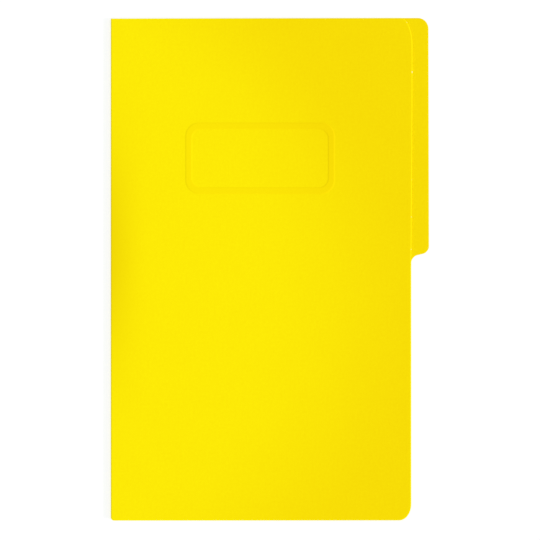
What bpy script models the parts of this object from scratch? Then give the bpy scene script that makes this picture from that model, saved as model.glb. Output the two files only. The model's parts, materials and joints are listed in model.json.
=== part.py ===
"""Pressboard fastener folder, closed and lying on its back cover with the front cover up.

The spine is at -X, the half-cut tab at +X and the folder's head at +Y. The board is one creased sheet, made
here as three rigid panels that turn about two creases. A two-prong tinplate fastener lies inside, on the back
cover beside the spine: a strip under a glued patch, a loose compressor bar and two sliding locks.
"""

import math

import bmesh
import bpy

MM = 0.001

# Board
BODY_WIDTH = 222.25 * MM
LENGTH = 371.475 * MM
BOARD = 0.6 * MM
CORNER_RADIUS = 10.4 * MM
FOOT_RADIUS = 2.2 * MM
FRONT_SWEEP_ACROSS = 8.5 * MM
FRONT_SWEEP_DOWN = 20.0 * MM

# Half-cut tab of the back cover
TAB_DEPTH = 12.7 * MM
TAB_LENGTH = 172.5 * MM
TAB_SLANT = math.radians(16.2)
TAB_HEAD_RADIUS = 7.8 * MM
TAB_FILLET_REACH = 4.5 * MM

# Embossed title frame of the front cover
FRAME_WIDTH = 111.0 * MM
FRAME_LENGTH = 52.9 * MM
FRAME_BAND = 5.0 * MM
FRAME_RADIUS = 10.4 * MM
FRAME_RISE = 0.3 * MM
FRAME_WALL = 0.3 * MM
FRAME_FROM_SPINE = 54.9 * MM
FRAME_FROM_HEAD = 76.6 * MM

# Fastener
TINPLATE = 0.3 * MM
FASTENER_FROM_SPINE = 18.0 * MM
FASTENER_FROM_MIDDLE = 13.0 * MM
PRONG_SPACING = 80.0 * MM
PRONG_LENGTH = 25.0 * MM
PRONG_WIDTH = 6.5 * MM
BEND_RADIUS = 0.5 * MM
PATCH = 0.25 * MM
PATCH_WIDTH = 26.0 * MM
PATCH_PAST_PRONG = 16.0 * MM
PATCH_RADIUS = 5.0 * MM
POCKET_MARGIN = 0.6 * MM
POCKET_RADIUS = 1.0 * MM
BAR_WIDTH = 10.0 * MM
BAR_PAST_PRONG = 12.0 * MM
SLIDER_LENGTH = 8.0 * MM
SLIDER_LIP = 3.0 * MM
SLIDERS_APART = 12.0 * MM

# Clearances
FIT = 0.2 * MM
SEAT = 0.3 * MM
SLOT_PLAY = 0.4 * MM

# Facets
CORNER_STEPS = 8
BEND_STEPS = 5
TIP_STEPS = 6
SHARP_EDGE = math.radians(35)

# Heights of the fastener's layers above the table, from the back cover up
STRIP_BOTTOM = BOARD + FIT
STRIP_TOP = STRIP_BOTTOM + TINPLATE
PATCH_BOTTOM = BOARD + FIT
POCKET_TOP = STRIP_TOP + FIT
PATCH_TOP = POCKET_TOP + PATCH
LIP_BOTTOM = PATCH_TOP + FIT
LIP_TOP = LIP_BOTTOM + TINPLATE
WEB_BOTTOM = LIP_TOP + FIT
WEB_TOP = WEB_BOTTOM + TINPLATE
PRONG_BOTTOM = WEB_TOP + FIT
PRONG_TOP = PRONG_BOTTOM + TINPLATE
SLIDER_CEILING = PRONG_TOP + FIT
SLIDER_TOP = SLIDER_CEILING + TINPLATE

# The front cover slopes from the spine, over the sliders, down to its free edge on the back cover
SLIDER_INSIDE = BAR_WIDTH / 2 + FIT
SLIDER_OUTSIDE = SLIDER_INSIDE + TINPLATE
SLIDER_FAR_EDGE = FASTENER_FROM_SPINE + SLIDER_OUTSIDE
FREE_EDGE_UNDERSIDE = BOARD + SEAT
COVER_SLOPE = (SLIDER_TOP + FIT - FREE_EDGE_UNDERSIDE) / (BODY_WIDTH - SLIDER_FAR_EDGE)
SPINE_HEIGHT = FREE_EDGE_UNDERSIDE + BODY_WIDTH * COVER_SLOPE + BOARD
COVER_TILT = math.atan(COVER_SLOPE)

# Each mitred edge stands this far back from its crease line, which leaves SEAT between the two mitres
MITRE_SETBACK = SEAT / math.sqrt(2)

SPINE_X = -(BODY_WIDTH + TAB_DEPTH) / 2
HEAD = LENGTH / 2
FOOT = -LENGTH / 2
FASTENER_X = SPINE_X + FASTENER_FROM_SPINE

YELLOW = (0.93, 0.72, 0.01)
TIN = (0.62, 0.62, 0.6)


def clear_scene():
    """Removes every object that the scene starts with."""
    for obj in list(bpy.data.objects):
        bpy.data.objects.remove(obj)


def finish(name, colour, roughness, metallic):
    """A Principled material for one piece."""
    material = bpy.data.materials.new(name)
    material.use_nodes = True
    shader = material.node_tree.nodes["Principled BSDF"]
    shader.inputs["Base Color"].default_value = (*colour, 1.0)
    shader.inputs["Roughness"].default_value = roughness
    shader.inputs["Metallic"].default_value = metallic
    return material


def corner(before, point, after, reach_in, reach_out):
    """A round corner, tangent to both legs, from reach_in before the point to reach_out after it."""
    if reach_in == 0:
        return [point]
    to_before = math.dist(point, before)
    to_after = math.dist(point, after)
    points = []
    for step in range(CORNER_STEPS + 1):
        turn = math.pi / 2 * step / CORNER_STEPS
        back = reach_in * (1 - math.sin(turn)) / to_before
        on = reach_out * (1 - math.cos(turn)) / to_after
        points.append(
            tuple(p + back * (b - p) + on * (a - p) for p, b, a in zip(point, before, after))
        )
    return points


def outline(corners):
    """A closed outline through corners given as (x, y, reach_in, reach_out), anticlockwise."""
    places = [(x, y) for x, y, _, _ in corners]
    points = []
    for index, (x, y, reach_in, reach_out) in enumerate(corners):
        before = places[index - 1]
        after = places[(index + 1) % len(places)]
        points += corner(before, (x, y), after, reach_in, reach_out)
    return points


def rounded_rectangle(middle, width, length, radius):
    """The outline of a rectangle with four equal round corners."""
    x, y = middle
    w, h = width / 2, length / 2
    corners = [(x - w, y - h), (x + w, y - h), (x + w, y + h), (x - w, y + h)]
    return outline([(cx, cy, radius, radius) for cx, cy in corners])


def at_height(points, z):
    """A flat outline lifted to a height."""
    return [(x, y, z) for x, y in points]


def across(profile, y):
    """A profile of (x, z) points stood up at one place along the folder."""
    return [(x, y, z) for x, z in profile]


def loft(name, loops, ring=False):
    """A closed body skinned over loops of equal length. A ring has no caps: its last loop meets its first."""
    mesh = bpy.data.meshes.new(name)
    body = bmesh.new()
    rows = [[body.verts.new(point) for point in loop] for loop in loops]
    pairs = list(zip(rows, rows[1:]))
    if ring:
        pairs.append((rows[-1], rows[0]))
    else:
        body.faces.new(reversed(rows[0]))
        body.faces.new(rows[-1])
    for low, high in pairs:
        for index in range(len(low)):
            on = (index + 1) % len(low)
            body.faces.new((low[index], low[on], high[on], high[index]))
    bmesh.ops.recalc_face_normals(body, faces=body.faces)
    body.to_mesh(mesh)
    body.free()
    mesh.shade_smooth()
    mesh.set_sharp_from_angle(angle=SHARP_EDGE)
    obj = bpy.data.objects.new(name, mesh)
    bpy.context.scene.collection.objects.link(obj)
    return obj


def mitre(obj, normal):
    """Cuts a panel's spine edge along a plane through its setback line, and closes the cut."""
    body = bmesh.new()
    body.from_mesh(obj.data)
    cut = bmesh.ops.bisect_plane(
        body,
        geom=body.verts[:] + body.edges[:] + body.faces[:],
        plane_co=(MITRE_SETBACK, 0, 0),
        plane_no=normal,
        clear_outer=True,
    )
    rim = [part for part in cut["geom_cut"] if isinstance(part, bmesh.types.BMEdge)]
    bmesh.ops.edgeloop_fill(body, edges=rim)
    bmesh.ops.recalc_face_normals(body, faces=body.faces)
    body.to_mesh(obj.data)
    body.free()


def combine(obj, tool, operation):
    """A Boolean on obj by a hidden tool that rides with it."""
    tool.parent = obj
    tool.hide_render = True
    tool.display_type = "WIRE"
    modifier = obj.modifiers.new(tool.name, "BOOLEAN")
    modifier.operation = operation
    modifier.object = tool


def crease(name, parent, location):
    """An empty on a crease line, which the panel beyond it turns about."""
    empty = bpy.data.objects.new(name, None)
    bpy.context.scene.collection.objects.link(empty)
    empty.parent = parent
    empty.location = location
    return empty


def box(name, low, high):
    """A plain block between two corners."""
    (x0, y0, z0), (x1, y1, z1) = low, high
    base = [(x0, y0), (x1, y0), (x1, y1), (x0, y1)]
    return loft(name, [at_height(base, z0), at_height(base, z1)])


def cover_corners(upper_right):
    """The corners that both covers share, measured from the spine line, around a cover's own upper right."""
    foot_corners = [
        (0, FOOT, FOOT_RADIUS, FOOT_RADIUS),
        (BODY_WIDTH, FOOT, CORNER_RADIUS, CORNER_RADIUS),
    ]
    return foot_corners + upper_right + [(0, HEAD, 0, 0)]


def back_cover():
    """The lower panel, with the tab that stands out beyond the front cover in its upper half."""
    tab_edge = BODY_WIDTH + TAB_DEPTH
    tab_end = HEAD - TAB_LENGTH
    tab_root = tab_end - TAB_DEPTH * math.tan(TAB_SLANT)
    tab = [
        (BODY_WIDTH, tab_root, TAB_FILLET_REACH, TAB_FILLET_REACH),
        (tab_edge, tab_end, TAB_FILLET_REACH, TAB_FILLET_REACH),
        (tab_edge, HEAD, TAB_HEAD_RADIUS, TAB_HEAD_RADIUS),
    ]
    points = outline(cover_corners(tab))
    cover = loft("back_cover", [at_height(points, 0), at_height(points, BOARD)])
    mitre(cover, (-1, 0, 1))
    cover.location = (SPINE_X, 0, 0)
    cover.data.materials.append(finish("back_cover_board", YELLOW, 0.6, 0.0))


def spine_panel(back_crease):
    """The narrow panel between the creases, mitred to both covers."""
    inner = BOARD + MITRE_SETBACK
    profile = [
        (0, MITRE_SETBACK),
        (BOARD, inner),
        (BOARD, SPINE_HEIGHT - inner),
        (0, SPINE_HEIGHT - MITRE_SETBACK),
    ]
    panel = loft("spine_panel", [across(profile, FOOT + FOOT_RADIUS), across(profile, HEAD)])
    panel.parent = back_crease
    panel.data.materials.append(finish("spine_board", YELLOW, 0.6, 0.0))


def title_ring(name, inset, low, high):
    """The title frame's band, drawn in by an inset on both sides, between two heights."""
    middle = (FRAME_FROM_SPINE + FRAME_WIDTH / 2, HEAD - FRAME_FROM_HEAD - FRAME_LENGTH / 2)

    def edge(inward):
        return rounded_rectangle(
            middle,
            FRAME_WIDTH - 2 * inward,
            FRAME_LENGTH - 2 * inward,
            FRAME_RADIUS - inward,
        )

    outer = edge(inset)
    inner = edge(FRAME_BAND - inset)
    loops = [
        at_height(outer, low),
        at_height(outer, high),
        at_height(inner, high),
        at_height(inner, low),
    ]
    return loft(name, loops, ring=True)


def front_cover(front_crease):
    """The upper panel: swept upper right corner, and a frame raised outside and hollow inside."""
    sweep = [(BODY_WIDTH, HEAD, FRONT_SWEEP_DOWN, FRONT_SWEEP_ACROSS)]
    points = outline(cover_corners(sweep))
    cover = loft("front_cover", [at_height(points, -BOARD), at_height(points, 0)])
    mitre(cover, (-1, 0, -1))
    cover.parent = front_crease
    cover.rotation_euler = (0, COVER_TILT, 0)
    cover.data.materials.append(finish("front_cover_board", YELLOW, 0.6, 0.0))
    raised = title_ring("frame_rise", 0, -BOARD / 2, FRAME_RISE)
    hollow = title_ring("frame_hollow", FRAME_WALL, -2 * BOARD, FRAME_RISE - BOARD)
    combine(cover, raised, "UNION")
    combine(cover, hollow, "DIFFERENCE")


def prong_path():
    """(y, z, half width) along the strip's middle line, from a prong's tip to the middle of the base."""
    prong_z = (PRONG_BOTTOM + PRONG_TOP) / 2
    base_z = (STRIP_BOTTOM + STRIP_TOP) / 2
    half = PRONG_WIDTH / 2
    bend_y = PRONG_SPACING / 2 - BEND_RADIUS
    tip_y = PRONG_SPACING / 2 - PRONG_LENGTH
    path = []
    for step in range(1, TIP_STEPS + 1):
        turn = math.pi / 2 * step / TIP_STEPS
        path.append((tip_y + half * (1 - math.cos(turn)), prong_z, half * math.sin(turn)))
    for step in range(BEND_STEPS + 1):
        turn = math.pi / 2 * (1 - step / BEND_STEPS)
        y = bend_y + BEND_RADIUS * math.cos(turn)
        path.append((y, prong_z - BEND_RADIUS + BEND_RADIUS * math.sin(turn), half))
    for step in range(BEND_STEPS + 1):
        turn = math.pi / 2 * step / BEND_STEPS
        y = bend_y + BEND_RADIUS * math.cos(turn)
        path.append((y, base_z + BEND_RADIUS - BEND_RADIUS * math.sin(turn), half))
    return path


def fastener_strip():
    """One tinplate strip: a flat base whose ends turn up and fold back inwards as the two prongs."""
    half_path = prong_path()
    path = half_path + [(-y, z, half) for y, z, half in reversed(half_path)]
    sections = []
    for index, (y, z, half) in enumerate(path):
        y0, z0, _ = path[max(index - 1, 0)]
        y1, z1, _ = path[min(index + 1, len(path) - 1)]
        along = math.hypot(y1 - y0, z1 - z0)
        rise = TINPLATE / 2 * (y1 - y0) / along
        shift = TINPLATE / 2 * (z1 - z0) / along
        outside = (y - shift, z + rise)
        inside = (y + shift, z - rise)
        sections.append([(-half, *outside), (half, *outside), (half, *inside), (-half, *inside)])
    strip = loft("fastener_strip", sections)
    strip.location = (FASTENER_X, FASTENER_FROM_MIDDLE, 0)
    strip.data.materials.append(finish("strip_tinplate", TIN, 0.35, 1.0))


def bond_patch():
    """The glued patch: a flat margin, raised over the strip's base, with a slit for each prong."""
    middle = (0, 0)
    pocket_width = PRONG_WIDTH + 2 * POCKET_MARGIN
    pocket_length = PRONG_SPACING + TINPLATE + 2 * POCKET_MARGIN
    pocket = rounded_rectangle(middle, pocket_width, pocket_length, POCKET_RADIUS)
    raised = rounded_rectangle(
        middle,
        pocket_width + 2 * PATCH,
        pocket_length + 2 * PATCH,
        POCKET_RADIUS + PATCH,
    )
    patch_length = PRONG_SPACING + 2 * PATCH_PAST_PRONG
    edge = rounded_rectangle(middle, PATCH_WIDTH, patch_length, PATCH_RADIUS)
    loops = [
        at_height(pocket, POCKET_TOP),
        at_height(pocket, PATCH_BOTTOM),
        at_height(edge, PATCH_BOTTOM),
        at_height(edge, PATCH_BOTTOM + PATCH),
        at_height(raised, PATCH_BOTTOM + PATCH),
        at_height(raised, PATCH_TOP),
    ]
    patch = loft("bond_patch", loops)
    cut_prong_slots(patch, POCKET_TOP - FIT, PATCH_TOP + FIT)
    patch.location = (FASTENER_X, FASTENER_FROM_MIDDLE, 0)
    patch.data.materials.append(finish("patch_board", YELLOW, 0.65, 0.0))


def cut_prong_slots(obj, low, high):
    """Cuts a slot for each prong's upright stretch, with play along the folder and the fit at its sides."""
    half_width = PRONG_WIDTH / 2 + FIT
    half_length = TINPLATE / 2 + SLOT_PLAY
    for end, side in (("upper", 1), ("lower", -1)):
        y = side * PRONG_SPACING / 2
        slot = box(
            f"{obj.name}_{end}_slot",
            (-half_width, y - half_length, low),
            (half_width, y + half_length, high),
        )
        combine(obj, slot, "DIFFERENCE")


def compressor_bar():
    """The loose channel over the sheets: a web with a rail along each side and a slot near each end."""
    outer = BAR_WIDTH / 2
    inner = outer - TINPLATE
    profile = [
        (-outer, WEB_BOTTOM),
        (outer, WEB_BOTTOM),
        (outer, PRONG_TOP),
        (inner, PRONG_TOP),
        (inner, WEB_TOP),
        (-inner, WEB_TOP),
        (-inner, PRONG_TOP),
        (-outer, PRONG_TOP),
    ]
    end = PRONG_SPACING / 2 + BAR_PAST_PRONG
    bar = loft("compressor_bar", [across(profile, -end), across(profile, end)])
    cut_prong_slots(bar, WEB_BOTTOM - FIT, WEB_TOP + FIT)
    bar.location = (FASTENER_X, FASTENER_FROM_MIDDLE, 0)
    bar.data.materials.append(finish("bar_tinplate", TIN, 0.35, 1.0))
    return bar


def slider(name, bar, side):
    """A lock bent round the bar's rails, parked beside the bar's middle, clear of the prong's tip."""
    lip = SLIDER_OUTSIDE - SLIDER_LIP
    right = [
        (lip, LIP_BOTTOM),
        (SLIDER_OUTSIDE, LIP_BOTTOM),
        (SLIDER_OUTSIDE, SLIDER_TOP),
    ]
    right_inside = [
        (SLIDER_INSIDE, SLIDER_CEILING),
        (SLIDER_INSIDE, LIP_TOP),
        (lip, LIP_TOP),
    ]
    left = [(-x, z) for x, z in reversed(right)]
    left_inside = [(-x, z) for x, z in reversed(right_inside)]
    profile = right + left + left_inside + right_inside
    lock = loft(name, [across(profile, -SLIDER_LENGTH / 2), across(profile, SLIDER_LENGTH / 2)])
    lock.parent = bar
    lock.location = (0, side * SLIDERS_APART / 2, 0)
    lock.data.materials.append(finish(f"{name}_tinplate", TIN, 0.3, 1.0))


def main():
    clear_scene()
    back_cover()
    back_crease = crease("back_crease", None, (SPINE_X, 0, 0))
    front_crease = crease("front_crease", back_crease, (0, 0, SPINE_HEIGHT))
    spine_panel(back_crease)
    front_cover(front_crease)
    fastener_strip()
    bond_patch()
    bar = compressor_bar()
    slider("slider_upper", bar, 1)
    slider("slider_lower", bar, -1)


main()
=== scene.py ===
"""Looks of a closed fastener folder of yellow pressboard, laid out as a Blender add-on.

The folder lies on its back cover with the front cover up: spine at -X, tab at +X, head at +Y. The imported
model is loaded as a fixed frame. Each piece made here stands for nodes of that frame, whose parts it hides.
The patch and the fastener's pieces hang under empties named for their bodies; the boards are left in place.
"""

import json
import math

import bpy
import numpy as np
from bpy.props import FloatProperty, FloatVectorProperty, PointerProperty
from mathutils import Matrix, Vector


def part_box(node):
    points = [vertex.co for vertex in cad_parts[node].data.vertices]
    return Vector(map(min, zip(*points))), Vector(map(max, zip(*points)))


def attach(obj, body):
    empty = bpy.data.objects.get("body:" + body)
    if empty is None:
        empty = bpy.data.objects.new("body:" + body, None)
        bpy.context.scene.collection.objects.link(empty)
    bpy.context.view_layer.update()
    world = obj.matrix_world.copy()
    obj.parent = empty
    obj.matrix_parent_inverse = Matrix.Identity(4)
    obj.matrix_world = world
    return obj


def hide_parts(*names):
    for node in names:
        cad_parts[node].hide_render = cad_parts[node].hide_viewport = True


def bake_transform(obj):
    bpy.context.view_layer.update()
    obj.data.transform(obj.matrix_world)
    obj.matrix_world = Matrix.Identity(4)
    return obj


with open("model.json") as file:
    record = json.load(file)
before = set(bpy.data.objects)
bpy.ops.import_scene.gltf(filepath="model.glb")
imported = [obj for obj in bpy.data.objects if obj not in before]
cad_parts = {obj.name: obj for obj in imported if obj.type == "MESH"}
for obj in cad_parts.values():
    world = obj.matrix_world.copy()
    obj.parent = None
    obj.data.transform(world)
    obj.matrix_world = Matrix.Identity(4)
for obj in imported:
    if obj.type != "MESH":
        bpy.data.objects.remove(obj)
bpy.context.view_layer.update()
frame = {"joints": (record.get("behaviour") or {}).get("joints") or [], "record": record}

bl_info = {
    "name": "Pressboard fastener folder",
    "version": (1, 0, 0),
    "blender": (4, 5, 0),
    "location": "View3D > Sidebar > Folder",
    "description": "Builds the board, the fastener and the studio of a pressboard fastener folder",
    "category": "Add Mesh",
}

MM = 0.001

# Places that the frame gives
JOINTS = {joint["name"]: joint for joint in frame["joints"]}
MOUNTS = {mount["name"]: mount for mount in frame["record"]["mounts"]}
SPINE_X = JOINTS["back_crease"]["pos_m"][0]
SPINE_HEIGHT = JOINTS["front_crease"]["pos_m"][2]
TITLE_NORMAL = MOUNTS["title_window"]["axis"]
COVER_TILT = math.atan2(TITLE_NORMAL[0], TITLE_NORMAL[2])
BACK_LOW, BACK_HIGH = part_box("back_cover")
FOOT = BACK_LOW.y
HEAD = BACK_HIGH.y
BOARD = BACK_HIGH.z - BACK_LOW.z
TAB_EDGE = BACK_HIGH.x - SPINE_X
BAR_LOW, BAR_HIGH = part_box("compressor_bar")
FASTENER_X = (BAR_LOW.x + BAR_HIGH.x) / 2
FASTENER_Y = (BAR_LOW.y + BAR_HIGH.y) / 2
STRIP_LOW, STRIP_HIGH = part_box("fastener_strip")
STRIP_WIDTH = STRIP_HIGH.x - STRIP_LOW.x
STRIP_LENGTH = STRIP_HIGH.y - STRIP_LOW.y

# Faces that meet at less than this angle are shaded as one surface
SMOOTH_UNDER = math.radians(40)

# Spacing of rows and columns in the boards, and the stretches where it changes
FLAT_STEP = 5 * MM
WIDE_STEP = 6 * MM
BULGE_STEP = 1.5 * MM
CREASE_STEP = 0.5 * MM
CREASE_REACH = 6 * MM
BEND_STEP = 0.15 * MM
TITLE_STEP = 0.25 * MM
TITLE_MARGIN = 0.6 * MM
EDGE_BAND = 30 * MM
ROW_GRID = 0.1 * MM

# Rows at a nick, in half lengths of it, and runs of columns in the edge band, as shares of its width
NICK_ROWS = np.linspace(-2, 2, 9)
EDGE_RUNS = ((0, 0.8, 0.14), (0.8, 1, 0.05))

# Spacing of rows and columns in the fastener
LONG_STEP = 3 * MM
PATCH_STEP = 0.25 * MM
PATCH_END_STEP = 2 * MM
PATCH_SIDE_STEP = 1.2 * MM
WEB_STEP = 0.5 * MM
BAR_SLOT_STEP = 0.3 * MM
BAR_END_STEP = 0.8 * MM
SLIDER_TOP_STEP = 0.4 * MM
SLIDER_END_STEP = 0.5 * MM
RIDGE_STEPS = 12

# Steps in a quarter turn
CORNER_STEPS = 20
SWEEP_STEPS = 28
FILLET_STEPS = 16
PRESSED_STEPS = 7
BURR_STEPS = 2
STRIP_BEND_STEPS = 10
STRIP_EDGE_STEPS = 3
PATCH_CORNER_STEPS = 12
SHEET_BEND_STEPS = 8

# Where the boards' rims change: across the cover, towards its ends, and down the cut, where the paler cut
# colour, on the shoulder also a painted highlight, sets in
SHOULDER_START = 3 * MM
SHOULDER_GROWTH = 6 * MM
END_REACH = 12 * MM
END_FADE = 11 * MM
BARE_FROM = 0.25

# The share of the title frame's slope over which the die's polish sets in
BURNISH_SHARE = 1 / 3

# Small shapes in the fastener
PRONG_TIP = np.linspace(math.radians(4), math.pi / 2, 14)
PRONG_EDGE_SHARE = 0.8
RAMP_BEFORE = 2 * MM
RAMP_PAST = 3 * MM
RAMP_BESIDE = 2.5 * MM
STRIP_CORNER = 1 * MM
SLIDER_FLAT_SHARE = 0.8
RIDGES = 3
RIDGE_SHARE = 0.72
RIDGE_FADE = 1 * MM
LEVEL_WITHIN = 0.01 * MM

# Sizes of the materials' patterns, in millimetres
CLOUD = 30
FIBRE_WIDTH = 1.3
FIBRE_LENGTH = 9
GRAIN = 1.9
FRAYED_FIBRE = 0.4
PATCH_CLOUD = 3
ROLLING_WIDTH = 0.18
ROLLING_LENGTH = 14
DULL_SPOT = 2.5

# Shares in the pressboard's mottle, and how much the title die polished it
FIBRE_SHARE = 0.7
CLOUD_SHARE = 0.3
DIE_POLISH = 0.65

# The material reads a board's faces this many times further apart than they are, so that they differ
FACE_APART = 10

# Inputs of a Mix node for colours
SHARE, ONE, OTHER = 0, 6, 7

# Light, as shares of the level at which a colour renders as it is written
ROOM_LIGHT = 0.675
SIDE_LIGHT = 0.3
SIDE_ELEVATION = math.radians(33)
SIDE_AZIMUTH = math.radians(-10)
SIDE_SOFTNESS = math.radians(14)
POOL_LIGHT = 0.137
POOL_PLACE = (-0.412, 0.049, 3.0)
POOL_REACH = (0.545, 0.347)
POOL_TURN = math.radians(-15.7)
POOL_BLEND = 0.43
POOL_SOFTNESS = 0.02

# The paper floor: the share of light that it gives back to the folder, the share that is seen, and the level
# that it is seen at beyond the shadow
FLOOR_BOUNCE = 0.85
FLOOR_SHADOW = 0.35
FLOOR_WHITE = 1.06
FLOOR_HALF = 2.0
FLOOR_BELOW = 0.05 * MM


def linear(code):
    """An sRGB hex colour as linear red, green and blue."""
    shares = [int(code[place:place + 2], 16) / 255 for place in (1, 3, 5)]
    return [c / 12.92 if c <= 0.04045 else ((c + 0.055) / 1.055) ** 2.4 for c in shares]


def length(name, millimetres, description):
    """A size property, given in millimetres."""
    size = millimetres * MM
    return FloatProperty(name=name, description=description, default=size, unit="LENGTH", precision=5)


def lengths(name, millimetres, description):
    """A property of several sizes, given in millimetres."""
    sizes = [size * MM for size in millimetres]
    count = len(sizes)
    return FloatVectorProperty(name=name, description=description, default=sizes, unit="LENGTH", size=count)


def colour(name, code, description):
    """A colour property, given as an sRGB hex value."""
    rgb = linear(code)
    return FloatVectorProperty(name=name, description=description, default=rgb, subtype="COLOR", size=3)


class FolderBoard(bpy.types.PropertyGroup):
    """Sizes of the creased sheet."""

    body_width: length("Body width", 222.25, "From the spine to the covers' right edge")
    corner_across: length("Corner across", 8.9, "Lower right corner of both covers, along the foot")
    corner_up: length("Corner up", 12.0, "Lower right corner of both covers, along the right edge")
    foot_radius: length("Foot radius", 2.5, "Corner at the spine's lower end")
    head_skew: length("Head skew", 0.66, "How much further up the head is at the right than at the spine")
    edge_lean: length("Edge lean", 0.9, "How far the front cover's free edge leans out at its head")
    sweep_across: length("Sweep across", 8.5, "Upper right corner of the front cover, along its head")
    sweep_down: length("Sweep down", 20.0, "Upper right corner of the front cover, along its right edge")
    tab_length: length("Tab length", 173.1, "From the head to the tab's lower end")
    tab_slant: FloatProperty(
        name="Tab slant",
        description="Lean of the tab's lower end",
        default=math.radians(14.2),
        subtype="ANGLE",
    )
    tab_lean: length("Tab lean", 0.42, "How far the tab's outer edge leans out at its lower end")
    tab_head_radius: length("Tab head radius", 7.8, "Upper corner of the tab")
    tab_fillet: length("Tab fillet", 4.5, "Reach of the rounding at both ends of the tab's slant")
    bend_radius: length("Bend radius", 0.8, "Outside of both creases")
    shoulder_width: length("Shoulder width", 1.2, "How far in from the edge the die rolled the outer face")
    shoulder_drop: length("Shoulder drop", 0.34, "How deep the die rolled the outer face")
    spine_shoulder: length("Spine shoulder", 0.12, "The shoulder's width at the creases")
    burr_radius: length("Burr radius", 0.08, "Rounding of the inner face's edge")
    nicks: lengths(
        "Nicks",
        (3.1, 39.7, 119.4, 146.9, 170.9),
        "From the head to each place where the front cover tore free of the cutting die",
    )
    nick_lengths: lengths(
        "Nick lengths",
        (0.27, 0.55, 0.17, 0.27, 0.29),
        "Half of the torn stretch at each nick",
    )
    nick_out: length("Nick out", 0.15, "How far the longest nick's torn fibres stick out")
    bulge_height: length("Bulge height", 0.75, "Lift of the front cover over the fastener")
    bulge_from_spine: length("Bulge from spine", 17.0, "Where that lift is full")
    bulge_to: length("Bulge to", 130.0, "Where that lift has died away")
    bulge_half_length: length("Bulge half length", 76.0, "Reach of that lift along the spine")
    # Painted shade: the board is drawn darker over this reach from the spine, for the shade where the cover
    # turns down to the crease
    spine_shade_width: length("Rubbed width", 25.0, "How far from the spine the cover is rubbed there")


class FolderTitle(bpy.types.PropertyGroup):
    """Sizes of the embossed title frame."""

    width: length("Width", 110.9, "Outside, across the cover")
    height: length("Height", 53.3, "Outside, along the cover")
    band: length("Band", 5.4, "Width of the raised band")
    radius: length("Radius", 10.4, "Outer corners")
    field_radius: length("Field radius", 6.8, "Inner corners")
    rise: length("Rise", 0.22, "How far the band stands out")
    wall: length("Wall", 1.0, "Width of the slope at each side of the band")
    from_spine: length("From spine", 54.9, "From the spine to the frame's left side")
    from_head: length("From head", 76.9, "From the head to the frame's upper side")


class FolderFastener(bpy.types.PropertyGroup):
    """Sizes of the tinplate fastener and its patch."""

    tinplate: length("Tinplate", 0.3, "Thickness of the strip, the bar and the sliders")
    prong_length: length("Prong length", 25.0, "From the upright to the tip")
    prong_bend: length("Prong bend", 0.5, "Bends of the strip, at its middle line")
    bar_bend: length("Bar bend", 0.5, "Outside of the bends of the bar and the sliders")
    bar_end_radius: length("Bar end radius", 2.5, "Corners of the bar's ends")
    slider_lip: length("Slider lip", 3.0, "Width of the lips under the bar")
    ridge_height: length("Ridge height", 0.28, "Thumb ridges on the sliders")
    ridge_spacing: length("Ridge spacing", 1.7, "From one thumb ridge to the next")
    slot_play: length("Slot play", 0.4, "Room before and behind a prong in its slot")
    slot_fit: length("Slot fit", 0.2, "Room at a prong's sides in its slot")
    patch: length("Patch", 0.25, "Thickness of the glued patch")
    patch_radius: length("Patch radius", 5.0, "Corners of the glued patch")
    patch_ramp: length("Patch ramp", 1.4, "Where the patch climbs onto the strip")
    glue: length("Glue", 0.02, "Between the patch and the back cover")
    edge_bevel: length("Edge bevel", 0.05, "Sheared edges of the tinplate")


class FolderFinish(bpy.types.PropertyGroup):
    """Colours of the materials."""

    board: colour("Board", "#FBE602", "Pressboard face")
    board_dark: colour("Board dark", "#F8E001", "Denser fibres in the pressboard")
    board_burnished: colour("Board burnished", "#F8DC01", "Pressboard polished by the title die")
    # Painted shade, not wear: the darker tone by the spine over the fastener, where the cover turns down to
    # the crease
    board_painted_spine_shade: colour("Board rubbed", "#F1D401", "Pressboard rubbed where the fastener holds it up")
    # Partly the paler colour of cut fibres, partly a painted highlight where the low side light falls on the
    # die-rolled shoulder
    board_cut_and_highlight: colour("Board cut", "#F9EF05", "Edge cut through the pressboard")
    board_fluff: colour("Board fluff", "#FCF5B4", "Torn fibres on the cut edge")
    patch: colour("Patch", "#F0D21E", "Glued patch")
    patch_dark: colour("Patch dark", "#E4C414", "Denser clouds in the glued patch")
    tin: colour("Tin", "#C6C6C1", "Tinplate")
    tin_dark: colour("Tin dark", "#A9A9A6", "Rolling lines in the tinplate")


class FolderStudio(bpy.types.PropertyGroup):
    """The camera, the floor and the light."""

    camera_height: length("Camera height", 3000.0, "Above the floor")
    frame_width: length("Frame width", 399.8, "Width of the picture at the folder")
    camera_x: length("Camera across", 0.22, "The camera's place across the folder")
    camera_y: length("Camera along", -0.44, "The camera's place along the folder")
    floor: colour("Floor", "#FFFFFF", "Paper sweep")
    room: colour("Room", "#FFF7F7", "Even light of the room")
    side: colour("Side", "#FFFFFF", "Low light from the right")
    pool: colour("Pool", "#A6FFFF", "Soft pool of cooler light over the left of the cover")


def smooth(share):
    """A smooth step: 0 below 0, 1 above 1, and 3 t squared less 2 t cubed between."""
    t = np.clip(share, 0, 1)
    return t * t * (3 - 2 * t)


def stops(*runs):
    """Places along a line, from runs of (from, to, spacing) that each start where the last one ended."""
    counts = [max(1, round((end - start) / spacing)) for start, end, spacing in runs]
    pieces = [np.linspace(run[0], run[1], count + 1)[:-1] for run, count in zip(runs, counts)]
    return np.append(np.concatenate(pieces), runs[-1][1])


def both_ways(places):
    """Places that start at 0, and before them their mirror image."""
    return np.concatenate([-places[:0:-1], places])


def there_and_back(path):
    """A path of points, and after it, from its end to its start, its mirror image to the other side of 0."""
    return np.concatenate([path, path[::-1] * (-1, 1)])


def level(places, height):
    """Points along a level line."""
    return np.stack([places, np.full(len(places), height)], axis=1)


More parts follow.
